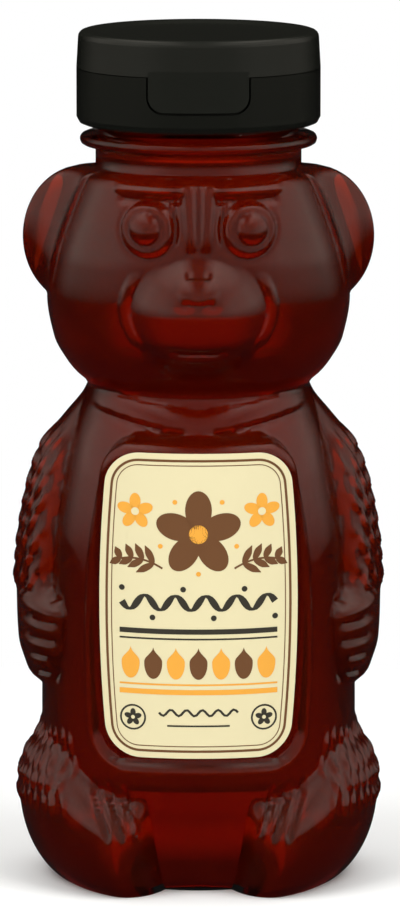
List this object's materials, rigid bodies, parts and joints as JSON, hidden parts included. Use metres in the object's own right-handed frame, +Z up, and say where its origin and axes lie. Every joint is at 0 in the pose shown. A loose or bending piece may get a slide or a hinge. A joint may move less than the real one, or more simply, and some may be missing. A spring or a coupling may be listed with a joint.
{
  "type": "bear-shaped honey squeeze bottle",
  "caption": "Clear bear-shaped squeeze bottle full of honey, with a label on its belly and a dark flip-top closure that screws onto the neck.",
  "frame": {"origin": "on the standing face, under the middle of the box round the whole object", "axes": "+Z up along the neck, -Y towards the bear's face and the label, +X to the right seen from the front"},
  "size_m": [0.0638, 0.056, 0.1487],
  "materials": {
    "bottle": "gloss",
    "honey": "gloss",
    "foil_seal": "satin",
    "front_label": "satin",
    "closure_liner": "matte",
    "closure_body": "satin",
    "lid": "satin",
    "living_hinge": "satin"
  },
  "bodies": {
    "bottle": {"bottle": "bottle", "honey": "honey", "foil_seal": "foil_seal", "front_label": "front_label"},
    "liner": {"closure_liner": "closure_liner"},
    "closure": {"closure_body": "closure_body", "living_hinge": "living_hinge"},
    "lid": {"lid": "lid"}
  },
  "joints": [
    {"name": "cap_lift", "type": "slide", "parent": "bottle", "child": "liner", "axis": [0, 0, 1], "range_m": [0, 0.0128]},
    {"name": "cap_turn", "type": "hinge", "parent": "liner", "child": "closure", "pos_m": [0, 0.0023, 0.141], "axis": [0, 0, 1], "range_deg": [0, 1080]},
    {"name": "lid_hinge", "type": "hinge", "parent": "closure", "child": "lid", "pos_m": [0, 0.0237, 0.14233], "axis": [-1, 0, 0], "range_deg": [0, 180], "deforming": ["living_hinge"]}
  ],
  "couplings": [
    {"joint": "cap_lift", "follows": "cap_turn", "m_per_rad": 0.00067371}
  ]
}
